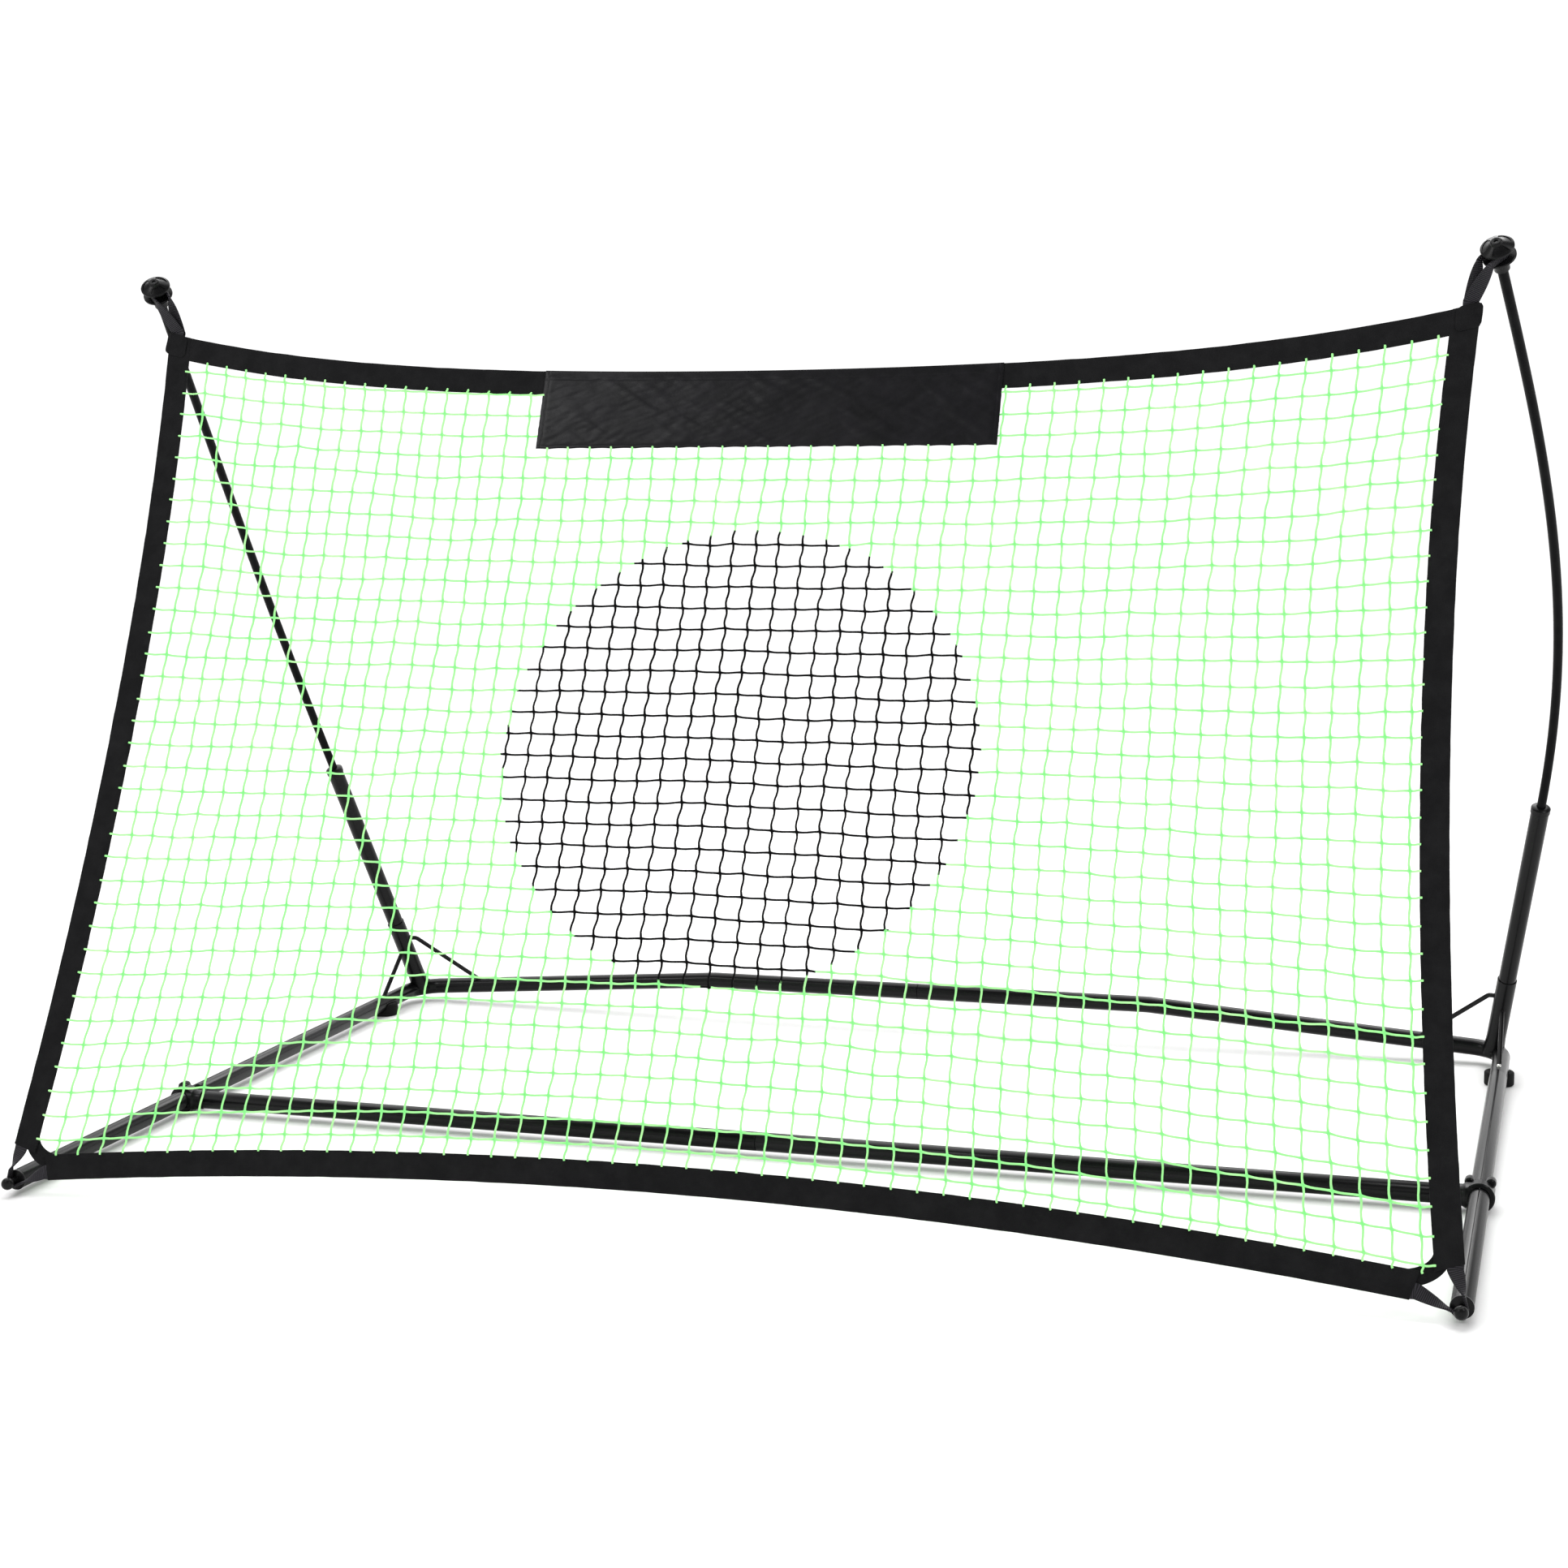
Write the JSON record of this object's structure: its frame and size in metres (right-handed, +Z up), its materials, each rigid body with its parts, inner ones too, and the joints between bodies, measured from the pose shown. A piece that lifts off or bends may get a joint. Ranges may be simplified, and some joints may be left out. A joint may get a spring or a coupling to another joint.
{
  "type": "soccer rebounder",
  "caption": "Free-standing football rebounder: flat steel tube base, two bowed poles and a sloping green net with a black round target, hems and a bare top banner.",
  "frame": {"origin": "ground level, under the middle of the box round the whole rebounder", "axes": "+X across the net, to the right as seen by the player; +Y from the player towards the rear bar; +Z up"},
  "size_m": [1.9462, 1.2356, 1.1811],
  "materials": {
    "black_powder_coat": "satin black powder coat on steel tube",
    "grey_painted_steel": "satin charcoal grey enamel on steel tube",
    "black_rubber": "matt black moulded rubber",
    "black_nylon": "semi-matt black moulded nylon",
    "black_fibreglass": "smooth black pultruded fibreglass",
    "nickel_plate": "bright nickel plate",
    "spring_steel": "bare spring steel strip",
    "green_cord": "pale fluorescent green braided polyethylene cord",
    "black_cord": "black braided polyethylene cord",
    "black_polyester": "black woven polyester",
    "black_webbing": "black ribbed polypropylene webbing"
  },
  "bodies": {
    "frame": {"rear_bar_left": "black_powder_coat", "socket_left": "black_powder_coat", "rear_brace_left": "black_powder_coat", "front_brace_left": "black_powder_coat", "upright_tube_left": "black_powder_coat", "side_tube_left": "grey_painted_steel", "foot_left": "black_rubber", "end_plug_left": "black_nylon", "tube_collar_left": "black_nylon", "pole_cap_left": "black_nylon", "pole_left": "black_fibreglass", "button_spring_left": "spring_steel", "corner_patch_left": "black_webbing", "corner_strip_left": "black_webbing", "top_webbing_left": "black_webbing", "bottom_webbing_left": "black_webbing", "hem_left": "black_polyester", "rear_bar_right": "black_powder_coat", "socket_right": "black_powder_coat", "rear_brace_right": "black_powder_coat", "front_brace_right": "black_powder_coat", "upright_tube_right": "black_powder_coat", "side_tube_right": "grey_painted_steel", "foot_right": "black_rubber", "end_plug_right": "black_nylon", "tube_collar_right": "black_nylon", "pole_cap_right": "black_nylon", "pole_right": "black_fibreglass", "button_spring_right": "spring_steel", "corner_patch_right": "black_webbing", "corner_strip_right": "black_webbing", "top_webbing_right": "black_webbing", "bottom_webbing_right": "black_webbing", "hem_right": "black_polyester", "hem_top": "black_polyester", "hem_bottom": "black_polyester", "banner": "black_polyester", "net_field": "green_cord", "net_target": "black_cord"},
    "crossbar": {"front_bar_left": "black_powder_coat", "front_bar_right": "black_powder_coat", "bar_clip_left": "black_nylon", "bar_clip_right": "black_nylon"},
    "button_left": {"snap_button_left": "nickel_plate"},
    "button_right": {"snap_button_right": "nickel_plate"}
  },
  "joints": [
    {"name": "crossbar_slide", "type": "slide", "parent": "frame", "child": "crossbar", "axis": [0, 1, 0.0024], "range_m": [-0.3, 0.5]},
    {"name": "button_press_left", "type": "slide", "parent": "frame", "child": "button_left", "axis": [0, 0.0024, -1], "range_m": [0, 0.0046], "stiffness_N_per_m": 1500, "springref_m": -0.002, "deforming": ["button_spring_left"]},
    {"name": "button_press_right", "type": "slide", "parent": "frame", "child": "button_right", "axis": [0, 0.0024, -1], "range_m": [0, 0.0046], "stiffness_N_per_m": 1500, "springref_m": -0.002, "deforming": ["button_spring_right"]}
  ]
}
